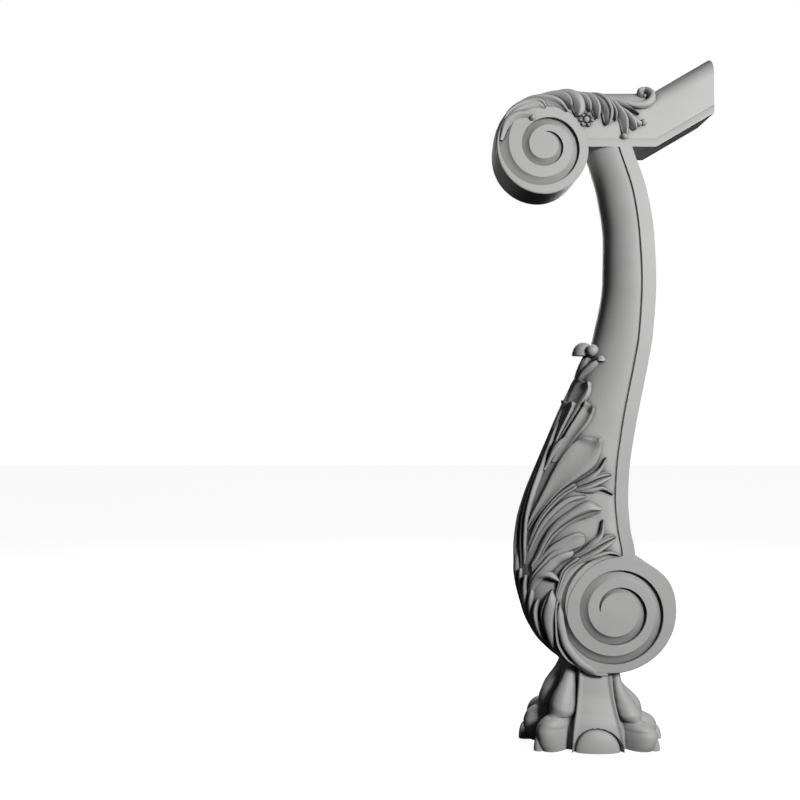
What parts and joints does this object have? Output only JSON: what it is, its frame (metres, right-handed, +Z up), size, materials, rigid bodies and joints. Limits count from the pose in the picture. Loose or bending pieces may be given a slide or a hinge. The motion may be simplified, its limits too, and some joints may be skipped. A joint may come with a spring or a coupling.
{
  "type": "carved newel post",
  "caption": "Carved stair starting newel: leaf-carved S-shaped post with a low scroll, on a lion-paw foot, under a crowned handrail that ends in a volute.",
  "frame": {"origin": "on the floor under the middle of the lion-paw foot", "axes": "+Z up, +X towards the rising handrail, the two carved faces mirror each other about Y = 0"},
  "size_m": [0.3166, 0.136, 1.007],
  "materials": {
    "painted_timber": "satin grey paint over carved timber"
  },
  "bodies": {
    "root": {"handrail_volute": "painted_timber", "scroll_post": "painted_timber", "paw_foot": "painted_timber"}
  },
  "joints": []
}
